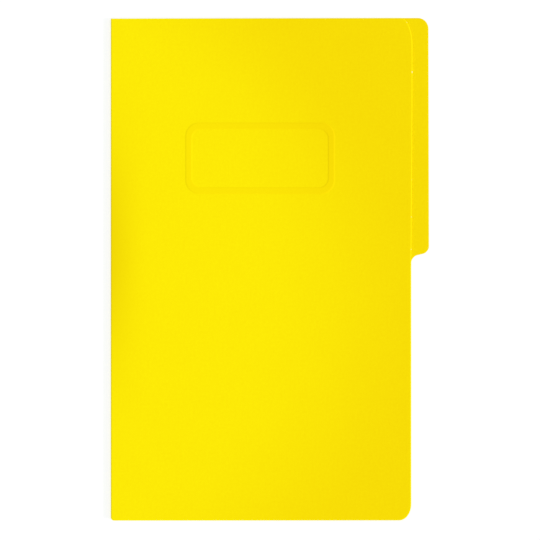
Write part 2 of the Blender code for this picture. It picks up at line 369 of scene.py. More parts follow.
def upright(x, places):
    """Points up a straight edge."""
    return level(places, x)[:, ::-1]


def quarter_turn(steps):
    """Angles from 0 to a right angle."""
    return np.linspace(0, math.pi / 2, steps + 1)


def rounded(start, corner, end, steps):
    """A quarter of an ellipse from start to end, tangent there to the lines to the corner.

    At angle a, the corner plus (1 - sin a) of the way to the start and (1 - cos a) of the way to the end.
    """
    angle = quarter_turn(steps)[:, None]
    start, corner, end = (np.array(place, float) for place in (start, corner, end))
    return corner + (1 - np.sin(angle)) * (start - corner) + (1 - np.cos(angle)) * (end - corner)


def round_box(x, y, middle, size, radius):
    """Signed distance to a rectangle with round corners: negative inside it, positive outside."""
    qx = np.abs(x - middle[0]) - size[0] / 2 + radius
    qy = np.abs(y - middle[1]) - size[1] / 2 + radius
    outside = np.hypot(np.maximum(qx, 0), np.maximum(qy, 0))
    return outside + np.minimum(np.maximum(qx, qy), 0) - radius


def normals_of(path):
    """Unit normals to the right of a path of points, from the difference of each point's neighbours."""
    along = np.gradient(path, axis=0)
    along /= np.hypot(along[:, 0], along[:, 1])[:, None]
    return np.stack([along[:, 1], -along[:, 0]], axis=1)


def put_piece(name, points, quads, material, **values):
    """A mesh object from arrays of points and of quads, smooth but for its sharp edges, facing outwards.

    The volume is a sixth of the sum over triangles of a . (b x c). Where that is negative, the faces are
    turned. Each named array of values, one number or three for each point, becomes an attribute that
    materials read.
    """
    used, quads = np.unique(quads, return_inverse=True)
    points = points[used]
    quads = quads.reshape(-1, 4)
    corners = points[quads]
    a, b, c, d = (corners[:, place] for place in range(4))
    volume = (a * np.cross(b, c)).sum() + (a * np.cross(c, d)).sum()
    if volume < 0:
        quads = quads[:, ::-1]
    mesh = bpy.data.meshes.new(name)
    mesh.vertices.add(len(points))
    mesh.vertices.foreach_set("co", points.ravel().astype(np.float32))
    mesh.loops.add(quads.size)
    mesh.loops.foreach_set("vertex_index", quads.ravel().astype(np.int32))
    mesh.polygons.add(len(quads))
    mesh.polygons.foreach_set("loop_start", np.arange(0, quads.size, 4, dtype=np.int32))
    mesh.update(calc_edges=True)
    if mesh.validate():
        raise ValueError(f"{name} has faulty faces")
    for title, value in values.items():
        kind, key = ("FLOAT", "value") if value.ndim == 1 else ("FLOAT_VECTOR", "vector")
        attribute = mesh.attributes.new(title, kind, "POINT")
        attribute.data.foreach_set(key, value[used].ravel().astype(np.float32))
    mesh.shade_smooth()
    mesh.set_sharp_from_angle(angle=SMOOTH_UNDER)
    mesh.materials.append(material)
    obj = bpy.data.objects.new(name, mesh)
    bpy.context.scene.collection.objects.link(obj)
    return obj


def cell_corners(index):
    """The four corners of every cell in a grid of point numbers, in order round the cell."""
    return [index[:-1, :-1], index[:-1, 1:], index[1:, 1:], index[1:, :-1]]


def grid_quads(index):
    """A quad for every cell in a grid of point numbers."""
    return np.stack(cell_corners(index), axis=-1).reshape(-1, 4)


def bridge_quads(loop):
    """Quads that close a flat loop with an even number of points, each between one side and the other."""
    half = len(loop) // 2
    near = loop[:half]
    far = loop[:half - 1:-1]
    return np.stack([near[:-1], near[1:], far[1:], far[:-1]], axis=-1)


def plate(outer, inner, keep=None):
    """A closed sheet between two grids of points, less the cells that keep leaves out.

    Every side of a kept cell that has no kept cell beyond it gets a wall from the outer to the inner grid.
    """
    rows, columns = outer.shape[:2]
    if keep is None:
        keep = np.ones((rows - 1, columns - 1), bool)
    index = np.arange(rows * columns).reshape(rows, columns)
    kept = keep.ravel()
    faces = [grid_quads(index)[kept], grid_quads(index + index.size)[kept][:, ::-1]]
    corners = cell_corners(index)
    around = np.pad(keep, 1)
    beyond = [around[:-2, 1:-1], around[1:-1, 2:], around[2:, 1:-1], around[1:-1, :-2]]
    for place, neighbour in enumerate(beyond):
        free = keep & ~neighbour
        start = corners[place][free]
        end = corners[(place + 1) % 4][free]
        faces.append(np.stack([start, start + index.size, end + index.size, end], axis=-1))
    points = np.concatenate([outer.reshape(-1, 3), inner.reshape(-1, 3)])
    return points, np.concatenate(faces)


class Fold:
    """The board's path in section: up half the spine, round a crease and across a cover.

    s runs over the outer face from the middle of the spine: straight to the bend, then round an arc of the
    bend's radius through a right angle and the cover's tilt, then straight on.
    """

    def __init__(self, radius, tilt):
        self.radius = radius
        self.turn = math.pi / 2 + tilt
        self.tangent = radius * math.tan(self.turn / 2)
        self.bend_start = SPINE_HEIGHT / 2 - self.tangent
        self.bend_end = self.bend_start + radius * self.turn
        self.crease = self.bend_end - self.tangent

    def columns(self, across):
        """Places of the columns: over half the spine, round its crease and on across the cover."""
        spine = (0, self.bend_start, CREASE_STEP)
        bend = (self.bend_start, self.bend_end, BEND_STEP)
        return np.concatenate([stops(spine, bend), across[1:] + self.crease])

    def place(self, s, out):
        """(across, up) of a point that lies a distance out of the outer face, from the spine's middle."""
        angle = np.clip((s - self.bend_start) / self.radius, 0, self.turn)
        on = np.maximum(s - self.bend_end, 0)
        across = self.radius * (1 - np.cos(angle)) + on * math.sin(self.turn) - out * np.cos(angle)
        up = np.minimum(s, self.bend_start) + self.radius * np.sin(angle)
        return across, up + on * math.cos(self.turn) + out * np.sin(angle)


def flat_face(board, fold, columns, edge):
    """The outer face of a cover and half the spine, laid out flat: its s, its y and its shoulder's width.

    The columns are straight, and past the last of them more columns spread to the cover's right edge,
    drawn in by the shoulder's width. Near the head and the foot the rows go over to the ends' own lines: a
    shoulder that is narrow at the crease, a round corner at the spine's foot and a head a little askew.
    """
    # One more point along the foot and one along the head give the edge's ends their normals
    past = (MM, 0)
    long_edge = np.concatenate([edge[:1] - past, edge, edge[-1:] - past])
    drawn_in = edge - board.shoulder_width * normals_of(long_edge)[1:-1]
    band = columns[-1] + stops(*EDGE_RUNS)[1:] * (drawn_in[:, :1] + fold.crease - columns[-1])
    s = np.concatenate([np.broadcast_to(columns, (len(edge), len(columns))), band], axis=1)
    y = np.broadcast_to(drawn_in[:, 1:], s.shape)
    across, _ = fold.place(s, 0)
    grown = smooth((across - SHOULDER_START) / SHOULDER_GROWTH)
    width = board.spine_shoulder + grown * (board.shoulder_width - board.spine_shoulder)
    slack = board.shoulder_width - width
    inside = board.foot_radius - np.minimum(across, board.foot_radius)
    notch = board.foot_radius - np.sqrt(board.foot_radius**2 - inside**2)
    skew = board.head_skew * (across / board.body_width - 0.5)
    near_foot = smooth((FOOT + END_REACH - y) / END_FADE)
    near_head = smooth((y - HEAD + END_REACH) / END_FADE)
    return s, y + near_foot * (notch - slack) + near_head * (slack + skew), width


def rim_profile(board):
    """Shares of the shoulder's width, depths, and how much cut colour each loop takes, which on the shoulder
    is also a painted highlight, from the outer face to the inner one.

    A quarter of an ellipse that the die pressed, a plain cut, and a small round at the inner face.
    """
    press = quarter_turn(PRESSED_STEPS)[1:]
    burr = quarter_turn(BURR_STEPS)
    burr_share = board.burr_radius / board.shoulder_width
    shares = np.concatenate([np.sin(press), 1 - burr_share * (1 - np.cos(burr))])
    pressed = -board.shoulder_drop * (1 - np.cos(press))
    left = -BOARD + board.burr_radius * (1 - np.sin(burr))
    # The paler cut colour reaches onto the die-rolled shoulder, where it is a painted highlight as well
    bare = np.concatenate([smooth((np.sin(press) - BARE_FROM) / (1 - BARE_FROM)), np.cos(burr)])
    return shares, np.concatenate([pressed, left]), bare


def cover_board(name, board, fold, columns, edge, side, material, form):
    """One cover with half of the spine: a flat sheet, with its thickness and its rim, that is then folded.

    The inner face is the outer face's grid a board's thickness in, and the rim is rim_profile carried round
    the edge. form(x, y) gives, for a point of the cover, how far it is moved out of the face and the values
    that the material reads. side is 1 for the board over the spine's middle and -1 for the one under it.
    """
    s, y, width = flat_face(board, fold, columns, edge)
    index = np.arange(s.size).reshape(s.shape)
    around = np.concatenate([index[0], index[1:, -1], index[-1, -2::-1]])
    path = np.stack([s.ravel()[around], y.ravel()[around]], axis=1)
    shares, depths, bare = rim_profile(board)
    rim = path + shares[:, None, None] * (width.ravel()[around, None] * normals_of(path))
    flat_s = np.concatenate([s.ravel(), s.ravel(), rim[..., 0].ravel()])
    flat_y = np.concatenate([y.ravel(), y.ravel(), rim[..., 1].ravel()])

    def spread(profile, inner=0.0):
        """A value for each point: 0 on the outer face, one on the inner face and a profile down the rim."""
        return np.concatenate([np.zeros(s.size), np.full(s.size, inner), np.repeat(profile, len(around))])

    out = spread(depths, inner=-BOARD)
    plan, _ = fold.place(flat_s, 0)
    lift, values = form(np.where(flat_s > fold.bend_end, flat_s - fold.crease, plan), flat_y)
    torn = values["nick"] * spread(shares)
    across, up = fold.place(flat_s + board.nick_out * torn, out + lift)
    points = np.stack([SPINE_X + across, flat_y, SPINE_HEIGHT / 2 + side * up], axis=1)

    # Points are numbered over the outer face, then over the inner face, then loop by loop down the rim
    inner_index = index + s.size
    loops = np.arange(rim[..., 0].size).reshape(len(shares), -1) + 2 * s.size
    section = np.concatenate([around[None], loops, around[None] + s.size])
    seam = np.stack([index[:-1, 0], index[1:, 0], inner_index[1:, 0], inner_index[:-1, 0]], axis=-1)
    faces = [
        grid_quads(index),
        grid_quads(inner_index)[:, ::-1],
        grid_quads(section.T),
        seam,
        bridge_quads(section[::-1, 0]),
        bridge_quads(section[:, -1]),
    ]
    values["sheet"] = np.stack([flat_s, flat_y, out * FACE_APART], axis=1)
    # Paler colour of the cut fibres, which on the die-rolled shoulder is also a painted highlight of the low
    # side light
    values["cut"] = spread(bare)
    return put_piece(name, points, np.concatenate(faces), material, **values)


def foot_corner(board):
    """The covers' lower right corner: a quarter of an ellipse from the foot to the right edge."""
    corner = np.array((board.body_width, FOOT))
    return rounded(corner - (board.corner_across, 0), corner, corner + (0, board.corner_up), CORNER_STEPS)


def framed_stops(title, start, low, high, end, between):
    """Places from start to end, close together where the title frame's corners lie, inside low and high."""
    turn = title.radius + TITLE_MARGIN
    return stops(
        (start, low - TITLE_MARGIN, FLAT_STEP),
        (low - TITLE_MARGIN, low + turn, TITLE_STEP),
        (low + turn, high - turn, between),
        (high - turn, high + TITLE_MARGIN, TITLE_STEP),
        (high + TITLE_MARGIN, end, FLAT_STEP),
    )


def front_edge(board, title):
    """The front cover's right edge from foot to head: a round corner, a straight run and a swept corner.

    Rows lie close together beside the title frame's corners and at the nicks, and those that nearly meet
    become one. From mid-height up the edge leans out, ever less steeply, because the sheet was folded a
    little askew.
    """
    right = board.body_width
    sweep = HEAD - board.sweep_down
    top = HEAD - title.from_head
    rows = framed_stops(title, FOOT + board.corner_up, top - title.height, top, sweep, FLAT_STEP)
    nick_rows = HEAD - np.array(board.nicks) + NICK_ROWS[:, None] * np.array(board.nick_lengths)
    rows = np.concatenate([rows[1:-1], nick_rows[nick_rows < sweep]])
    rows = np.unique(np.round(rows / ROW_GRID)) * ROW_GRID
    upper = rounded((right, sweep), (right, HEAD), (right - board.sweep_across, HEAD), SWEEP_STEPS)
    edge = np.concatenate([foot_corner(board), upright(right, rows), upper])
    edge[:, 0] += board.edge_lean * (1 - (1 - np.clip(edge[:, 1] / HEAD, 0, 1)) ** 2)
    return edge


def back_edge(board):
    """The back cover's right edge from foot to head: a round corner, the tab's slanted end and its corner.

    The tab's outer edge leans out, evenly from nothing at the head to the whole lean at the tab's lower end.
    """
    right = board.body_width
    reach = board.tab_fillet
    tab_end = np.array((TAB_EDGE, HEAD - board.tab_length))
    slant = np.array((math.cos(board.tab_slant), math.sin(board.tab_slant)))
    root = tab_end - slant * (TAB_EDGE - right) / slant[0]
    up = np.array((0, 1))
    tab_top = HEAD - board.tab_head_radius
    upper = ((TAB_EDGE, tab_top), (TAB_EDGE, HEAD), (TAB_EDGE - board.tab_head_radius, HEAD))
    body_rows = stops((FOOT + board.corner_up, root[1] - reach, WIDE_STEP))
    tab_rows = stops((tab_end[1] + reach, tab_top, WIDE_STEP))
    stretches = [
        foot_corner(board),
        upright(right, body_rows[1:-1]),
        rounded(root - reach * up, root, root + reach * slant, FILLET_STEPS),
        rounded(tab_end - reach * slant, tab_end, tab_end + reach * up, FILLET_STEPS),
        upright(TAB_EDGE, tab_rows[1:-1]),
        rounded(*upper, CORNER_STEPS),
    ]
    edge = np.concatenate(stretches)
    on_tab = np.clip((edge[:, 0] - right) / (TAB_EDGE - right), 0, 1)
    edge[:, 0] += board.tab_lean * on_tab * (HEAD - edge[:, 1]) / board.tab_length
    return edge


def nearness(board, y):
    """How torn the right edge is: a bell round each nick, as high as the nick's share of the longest one."""
    spans = np.array(board.nick_lengths)
    away = (HEAD - y[:, None] - np.array(board.nicks)) / spans
    return (spans / spans.max() * np.exp(-(away**2))).max(axis=1)


def front_board(board, title, material):
    """The front cover: its title frame, raised outside and hollow inside, and its lift over the fastener.

    The frame's height is its rise times a smooth step in from its outer outline and another in from its
    inner one. The lift is a bell along the spine times a parabola up from the crease, which a cosine then
    lets die away.
    """
    fold = Fold(board.bend_radius, COVER_TILT)
    left = title.from_spine
    bulge_end = board.bulge_from_spine + FLAT_STEP
    near = stops((fold.tangent, CREASE_REACH, CREASE_STEP), (CREASE_REACH, bulge_end, BULGE_STEP))
    band_start = board.body_width - EDGE_BAND
    far = framed_stops(title, bulge_end, left, left + title.width, band_start, WIDE_STEP)
    columns = fold.columns(np.concatenate([near[:-1], far]))
    middle = (left + title.width / 2, HEAD - title.from_head - title.height / 2)
    size = np.array((title.width, title.height))
    field = size - 2 * title.band
    burnished = BURNISH_SHARE * title.wall

    def form(x, y):
        """The lift of the frame and of the bulge, and where the board is polished, painted darker as shade
        by the spine, and torn.
        """
        inside = -round_box(x, y, middle, size, title.radius)
        outside_field = round_box(x, y, middle, field, title.field_radius)
        raised = smooth(inside / title.wall) * smooth(outside_field / title.wall)
        rib = smooth(inside / burnished) * smooth(outside_field / burnished)
        bell = np.exp(-(((y - FASTENER_Y) / board.bulge_half_length) ** 2))
        climb = 1 - np.clip(1 - x / board.bulge_from_spine, 0, 1) ** 2
        past = np.clip((x - board.bulge_from_spine) / (board.bulge_to - board.bulge_from_spine), 0, 1)
        fade = (1 + np.cos(math.pi * past)) / 2
        # Painted shade: darker towards the spine over the fastener, for the shade of the cover turning down
        # to the crease
        press = bell * np.clip(1 - x / board.spine_shade_width, 0, 1)
        lift = title.rise * raised + board.bulge_height * bell * climb * fade
        nick = nearness(board, y) * (x > board.body_width / 2)
        return lift, {"rib": rib, "press": press, "nick": nick}

    edge = front_edge(board, title)
    return cover_board("front_cover_board", board, fold, columns, edge, 1, material, form)


def back_board(board, material):
    """The back cover with its tab: a flat sheet with nothing raised, polished, painted with shade or torn.
    """
    fold = Fold(board.bend_radius, 0)
    near = (fold.tangent, CREASE_REACH, CREASE_STEP)
    columns = fold.columns(stops(near, (CREASE_REACH, board.body_width - EDGE_BAND, WIDE_STEP)))

    def form(x, y):
        """No lift, and 0 for each value that the material reads."""
        plain = np.zeros_like(x)
        return plain, {"rib": plain, "press": plain, "nick": plain}

    return cover_board("back_cover_board", board, fold, columns, back_edge(board), -1, material, form)


def prong_strip(sizes, material):
    """The strip under the patch, whose ends turn up and fold back inwards as the prongs.

    A flat section with round edges is carried along the strip's middle line. At each tip its width follows a
    circle, which starts a little way round, so that the tip isn't a point.
    """
    half_width = STRIP_WIDTH / 2
    half_thick = sizes.tinplate / 2
    upright_y = STRIP_LENGTH / 2 - half_thick
    prong_z = STRIP_HIGH.z - half_thick
    base_z = STRIP_LOW.z + half_thick
    bend = sizes.prong_bend
    tip = upright_y - sizes.prong_length + half_width * (1 - np.cos(PRONG_TIP))
    over = ((upright_y - bend, prong_z), (upright_y, prong_z), (upright_y, prong_z - bend))
    under = ((upright_y, base_z + bend), (upright_y, base_z), (upright_y - bend, base_z))
    bends = [rounded(*corner, STRIP_BEND_STEPS) for corner in (over, under)]
    half_path = np.concatenate([level(tip, prong_z), *bends])
    path = there_and_back(half_path)
    half_widths = np.full(len(half_path), half_width)
    half_widths[:len(tip)] = half_width * np.sin(PRONG_TIP)
    half_widths = np.concatenate([half_widths, half_widths[::-1]])

    edge = PRONG_EDGE_SHARE * half_thick
    quarter = quarter_turn(STRIP_EDGE_STEPS)
    sides = np.concatenate([quarter + place * math.pi / 2 for place in range(4)])
    flat_part = np.maximum(half_widths - edge, 0)[:, None]
    across = np.repeat((1, -1, -1, 1), len(quarter)) * flat_part + edge * np.cos(sides)
    thick = np.repeat((1, 1, -1, -1), len(quarter)) * (half_thick - edge) + edge * np.sin(sides)
    normals = normals_of(path)
    y = path[:, :1] + normals[:, :1] * thick
    z = path[:, 1:] + normals[:, 1:] * thick
    points = np.stack([FASTENER_X + across, FASTENER_Y + y, z], axis=-1)
    index = np.arange(across.size).reshape(across.shape)
    closed = np.concatenate([index, index[:, :1]], axis=1)
    faces = [grid_quads(closed), bridge_quads(index[0, ::-1]), bridge_quads(index[-1])]
    return put_piece("fastener_prongs", points.reshape(-1, 3), np.concatenate(faces), material)


def prong_slot(sizes):
    """A prong's slot: half its width, its middle along the fastener, and half its length."""
    half_thick = sizes.tinplate / 2
    return STRIP_WIDTH / 2 + sizes.slot_fit, STRIP_LENGTH / 2 - half_thick, half_thick + sizes.slot_play


def slotted_sheet(name, layers, sizes, material):
    """A sheet between two layers of (x, y, z) grids round the fastener's middle, less its two slots."""
    half_width, prong_y, half_length = prong_slot(sizes)
    x, y, _ = layers[0]
    middle_x = (x[:-1, :-1] + x[1:, 1:]) / 2
    middle_y = (y[:-1, :-1] + y[1:, 1:]) / 2
    cut = (np.abs(middle_x) < half_width) & (np.abs(np.abs(middle_y) - prong_y) < half_length)
    grids = [np.stack([FASTENER_X + x, FASTENER_Y + y, z], axis=-1) for x, y, z in layers]
    points, quads = plate(*grids, keep=~cut)
    return put_piece(name, points, quads, material)


def glued_patch(sizes, material):
    """The patch glued over the strip: flat at its margin, and lifted by a smooth step over the strip."""
    low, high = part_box("bond_patch")
    half_width = (high.x - low.x) / 2
    half_length = (high.y - low.y) / 2
    radius = sizes.patch_radius
    slot_half, prong_y, slot_length = prong_slot(sizes)
    upper_rows = stops(
        (0, prong_y - RAMP_BEFORE, LONG_STEP),
        (prong_y - RAMP_BEFORE, prong_y - slot_length, PATCH_STEP),
        (prong_y - slot_length, prong_y + slot_length, PATCH_STEP),
        (prong_y + slot_length, prong_y + RAMP_PAST, PATCH_STEP),
        (prong_y + RAMP_PAST, half_length - radius, PATCH_END_STEP),
    )
    corner_rows = half_length - radius * (1 - np.sin(quarter_turn(PATCH_CORNER_STEPS)))
    rows = both_ways(np.concatenate([upper_rows, corner_rows[1:]]))
    right_columns = stops(
        (0, slot_half, WEB_STEP),
        (slot_half, slot_half + RAMP_BESIDE, PATCH_STEP),
        (slot_half + RAMP_BESIDE, half_width, PATCH_SIDE_STEP),
    )
    columns = both_ways(right_columns)
    past = np.maximum(np.abs(rows) - half_length + radius, 0)
    drawn_in = radius - np.sqrt(np.maximum(radius**2 - past**2, 0))
    spread = np.clip((np.abs(columns) - slot_half) / (half_width - slot_half), 0, 1)
    x = columns - np.sign(columns) * spread * drawn_in[:, None]
    y = np.broadcast_to(rows[:, None], x.shape)
    from_strip = round_box(x, y, (0, 0), (STRIP_WIDTH, STRIP_LENGTH), STRIP_CORNER)
    climb = smooth(1 - from_strip / sizes.patch_ramp)
    margin = BACK_HIGH.z + sizes.glue
    bottom = margin + climb * (high.z - sizes.patch - margin)
    layers = [(x, y, z) for z in (bottom + sizes.patch, bottom)]
    return slotted_sheet("fastener_patch", layers, sizes, material)


def bent_section(half_corners, middle, sizes):
    """A tinplate sheet's section, from half of its square corners: its outer points and its inner ones.

    The other half is the mirror image. The corners are rounded outside, and the level stretch between the
    halves has points at the places in middle. The inner points lie a thickness to the path's left.
    """
    corners = there_and_back(np.array(half_corners, float))
    runs = [corners[:1]]
    for before, point, after in zip(corners, corners[1:], corners[2:]):
        start = point + sizes.bar_bend * (before - point) / np.linalg.norm(before - point)
        end = point + sizes.bar_bend * (after - point) / np.linalg.norm(after - point)
        runs.append(rounded(start, point, end, SHEET_BEND_STEPS))
    outer = np.concatenate([*runs, corners[-1:]])
    inner = outer - sizes.tinplate * normals_of(outer)
    half = len(outer) // 2
    faces = (outer, inner)
    return [np.concatenate([face[:half], level(middle, face[half, 1]), face[half:]]) for face in faces]


def press_bar(sizes, material):
    """The compressor bar: a channel's section carried along the fastener, with slots and rounded ends.

    Past the slots, a column's end is drawn in by the circle of the end's corner.
    """
    half_width = (BAR_HIGH.x - BAR_LOW.x) / 2
    half_length = (BAR_HIGH.y - BAR_LOW.y) / 2
    slot_half, prong_y, slot_length = prong_slot(sizes)
    left_wall = [(-half_width, BAR_HIGH.z), (-half_width, BAR_LOW.z)]
    section = bent_section(left_wall, stops((-slot_half, slot_half, WEB_STEP)), sizes)
    slot_end = prong_y + slot_length
    upper_rows = stops(
        (0, prong_y - slot_length, LONG_STEP),
        (prong_y - slot_length, slot_end, BAR_SLOT_STEP),
        (slot_end, half_length, BAR_END_STEP),
    )
    rows = both_ways(upper_rows)
    radius = sizes.bar_end_radius
    past = np.clip(np.abs(section[0][:, 0]) - half_width + radius, 0, radius)
    drawn_in = radius - np.sqrt(radius**2 - past**2)
    near_end = np.clip((np.abs(rows) - slot_end) / (half_length - slot_end), 0, 1)
    y = rows[:, None] - (np.sign(rows) * near_end)[:, None] * drawn_in
    layers = [np.broadcast_arrays(face[:, 0], y, face[:, 1]) for face in section]
    return slotted_sheet("fastener_bar", layers, sizes, material)


def slider(name, node, sizes, material):
    """A lock bent round the bar: a closed-over section carried along it, with thumb ridges across its top.

    The ridges lift the top by a cosine wave, which a smooth step ends at both sides.
    """
    low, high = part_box(node)
    half_width = (high.x - low.x) / 2
    half_length = (high.y - low.y) / 2
    right_wall = [(half_width - sizes.slider_lip, low.z), (half_width, low.z), (half_width, high.z)]
    flat = SLIDER_FLAT_SHARE * half_width
    section = bent_section(right_wall, stops((flat, -flat, -SLIDER_TOP_STEP)), sizes)
    spacing = sizes.ridge_spacing
    ridged = RIDGES / 2 * spacing
    upper_rows = stops((0, ridged, spacing / RIDGE_STEPS), (ridged, half_length, SLIDER_END_STEP))
    rows = both_ways(upper_rows)[:, None]
    x, z = section[0].T
    on_top = z > high.z - LEVEL_WITHIN
    across = smooth((RIDGE_SHARE * half_width - np.abs(x)) / RIDGE_FADE) * on_top
    wave = (1 + np.cos(2 * math.pi * rows / spacing)) / 2 * (np.abs(rows) < ridged)
    ridges = sizes.ridge_height * wave * across
    y = (low.y + high.y) / 2 + rows
    layers = [np.broadcast_arrays(FASTENER_X + face[:, 0], y, face[:, 1] + ridges) for face in section]
    points, quads = plate(*(np.stack(layer, axis=-1) for layer in layers))
    return put_piece(name, points, quads, material)


def ease_edges(obj, width):
    """Takes the sharpness off sheared edges with a narrow bevel."""
    bevel = obj.modifiers.new("sheared edges", "BEVEL")
    bevel.width = width
    bevel.segments = 2
    bevel.limit_method = "ANGLE"
    bevel.angle_limit = SMOOTH_UNDER
    return obj


def feed(tree, node, inputs):
    """Gives each input its value, or a link from a socket or from a node's first output that is in use."""
    for key, value in inputs.items():
        if isinstance(value, bpy.types.Node):
            value = next(output for output in value.outputs if output.enabled)
        if isinstance(value, bpy.types.NodeSocket):
            tree.links.new(value, node.inputs[key])
        else:
            node.inputs[key].default_value = value
    return node


def add(tree, kind, inputs=(), **settings):
    """Adds a shader node of a kind, with its settings and its inputs."""
    node = tree.nodes.new("ShaderNode" + kind)
    for key, value in settings.items():
        setattr(node, key, value)
    return feed(tree, node, dict(inputs))


def per_metre(millimetres):
    """The scale at which a pattern repeats about every so many millimetres."""
    return 1 / (millimetres * MM)


def opaque(rgb, share=1.0):
    """A share of a colour, with full alpha."""
    return (*(share * c for c in rgb), 1.0)


def new_material(name):
    """A material with nothing but its Principled shader, its tree and that shader."""
    material = bpy.data.materials.new(name)
    material.use_nodes = True
    return material, material.node_tree, material.node_tree.nodes["Principled BSDF"]


def calendered_pressboard(finish):
    """Solid pressboard, dyed through and pressed smooth between rollers.

    The eye sees an even strong yellow with a faint grain of fibres that lie along the spine, soft clouds
    where the pulp was denser, a dull satin, a darker tone where the title die polished it, and a painted
    shade where the cover turns down to the spine over the fastener. A brighter line along cut edges is
    partly the paler cut fibres and partly a painted highlight of the low side light on the die-rolled
    shoulder, with pale torn fibres at nicks. The fibres and their grain are drawn some ten times as wide
    as real ones, which are too fine to show.
    """
    material, tree, shader = new_material("calendered pressboard")
    sheet = add(tree, "Attribute", attribute_name="sheet").outputs["Vector"]
    # rib is the die's polish, press the painted shade by the spine, cut the paler cut with its painted
    # highlight, nick the torn fibres
    rib, press, cut, nick = (
        add(tree, "Attribute", attribute_name=name).outputs["Fac"]
        for name in ("rib", "press", "cut", "nick")
    )
    clouds = add(tree, "TexNoise", {"Vector": sheet, "Scale": per_metre(CLOUD), "Detail": 1.0})
    fibre = (per_metre(FIBRE_WIDTH), per_metre(FIBRE_LENGTH), per_metre(FIBRE_WIDTH))
    lay = add(tree, "Mapping", {"Vector": sheet, "Scale": fibre})
    felted = {"Vector": lay, "Scale": 1.0, "Detail": 3.0, "Roughness": 0.6, "Distortion": 0.8}
    fibres = add(tree, "TexNoise", felted)
    grain = add(tree, "TexNoise", {"Vector": sheet, "Scale": per_metre(GRAIN), "Detail": 1.0})
    fine = add(tree, "Math", {0: fibres, 1: FIBRE_SHARE, 2: grain}, operation="MULTIPLY_ADD")
    mottle = add(tree, "Math", {0: clouds, 1: CLOUD_SHARE, 2: fine}, operation="MULTIPLY_ADD")
    mottled = {"Value": mottle, "From Min": 0.62, "From Max": 1.38}
    paler = add(tree, "MapRange", mottled)
    satin = add(tree, "MapRange", {**mottled, "To Min": 0.52, "To Max": 0.64})
    bump = add(tree, "Bump", {"Height": fine, "Strength": 0.35, "Distance": 0.02 * MM})

    die = add(tree, "Math", {0: rib, 1: DIE_POLISH}, operation="MULTIPLY")
    frayed = {"Vector": sheet, "Scale": per_metre(FRAYED_FIBRE), "Detail": 3.0, "Roughness": 0.6}
    frays = add(tree, "TexNoise", frayed)
    tufts = add(tree, "MapRange", {"Value": frays, "From Min": 0.38, "From Max": 0.5})
    bare = add(tree, "Math", {0: nick, 1: cut}, operation="MULTIPLY")
    torn = add(tree, "Math", {0: bare, 1: tufts}, operation="MULTIPLY")
    fluff = add(tree, "MapRange", {"Value": torn, "From Min": 0.05, "From Max": 0.4})

    tones = {SHARE: paler, ONE: opaque(finish.board_dark), OTHER: opaque(finish.board)}
    seen = add(tree, "Mix", tones, data_type="RGBA")
    layers = (
        (die, finish.board_burnished),
        # Painted shade by the spine over the fastener
        (press, finish.board_painted_spine_shade),
        # Paler cut fibres, and on the shoulder a painted highlight
        (cut, finish.board_cut_and_highlight),
        (fluff, finish.board_fluff),
    )
    for share, rgb in layers:
        seen = add(tree, "Mix", {SHARE: share, ONE: seen, OTHER: opaque(rgb)}, data_type="RGBA")
    feed(tree, shader, {"Base Color": seen, "Roughness": satin, "Normal": bump, "Specular IOR Level": 0.03})
    return material


def patch_board(finish):
    """Thin uncoated board of the patch: matt, with soft clouds of pulp, and duller than the covers."""
    material, tree, shader = new_material("uncoated patch board")
    place = add(tree, "TexCoord").outputs["Object"]
    cloudy = {"Vector": place, "Scale": per_metre(PATCH_CLOUD), "Detail": 5.0, "Roughness": 0.7}
    clouds = add(tree, "TexNoise", cloudy)
    paler = add(tree, "MapRange", {"Value": clouds, "From Min": 0.35, "From Max": 0.65})
    tones = {SHARE: paler, ONE: opaque(finish.patch_dark), OTHER: opaque(finish.patch)}
    face = add(tree, "Mix", tones, data_type="RGBA")
    bump = add(tree, "Bump", {"Height": clouds, "Strength": 0.3, "Distance": 0.03 * MM})
    feed(tree, shader, {"Base Color": face, "Roughness": 0.75, "Normal": bump, "Specular IOR Level": 0.1})
    return material


def rolled_tinplate(finish):
    """Bright tinplate, rolled along its length: a grey metal with lines along it and faint dull spots.

    The rolling lines are drawn wider than real ones, which are too fine to show.
    """
    material, tree, shader = new_material("rolled tinplate")
    place = add(tree, "TexCoord").outputs["Object"]
    line = (per_metre(ROLLING_WIDTH), per_metre(ROLLING_LENGTH), per_metre(ROLLING_LENGTH))
    along = add(tree, "Mapping", {"Vector": place, "Scale": line})
    lines = add(tree, "TexNoise", {"Vector": along, "Scale": 1.0, "Detail": 3.0, "Roughness": 0.6})
    spots = add(tree, "TexNoise", {"Vector": place, "Scale": per_metre(DULL_SPOT), "Detail": 3.0})
    paler = add(tree, "MapRange", {"Value": lines, "From Min": 0.3, "From Max": 0.7})
    tones = {SHARE: paler, ONE: opaque(finish.tin_dark), OTHER: opaque(finish.tin)}
    metal = add(tree, "Mix", tones, data_type="RGBA")
    dulled = {"Value": spots, "From Min": 0.3, "From Max": 0.7, "To Min": 0.24, "To Max": 0.4}
    shine = add(tree, "MapRange", dulled)
    bump = add(tree, "Bump", {"Height": lines, "Strength": 0.2, "Distance": 0.01 * MM})
    feed(tree, shader, {"Base Color": metal, "Roughness": shine, "Normal": bump, "Metallic": 1.0})
    return material


def seen_directly(tree):
    """1 for rays from the camera, and for those that a mirror or glass sends on, else 0."""
    rays = add(tree, "LightPath").outputs
    seen = rays["Is Camera Ray"]
    for kind in ("Is Glossy Ray", "Is Transmission Ray"):
        seen = add(tree, "Math", {0: seen, 1: rays[kind]}, operation="MAXIMUM")
    return seen


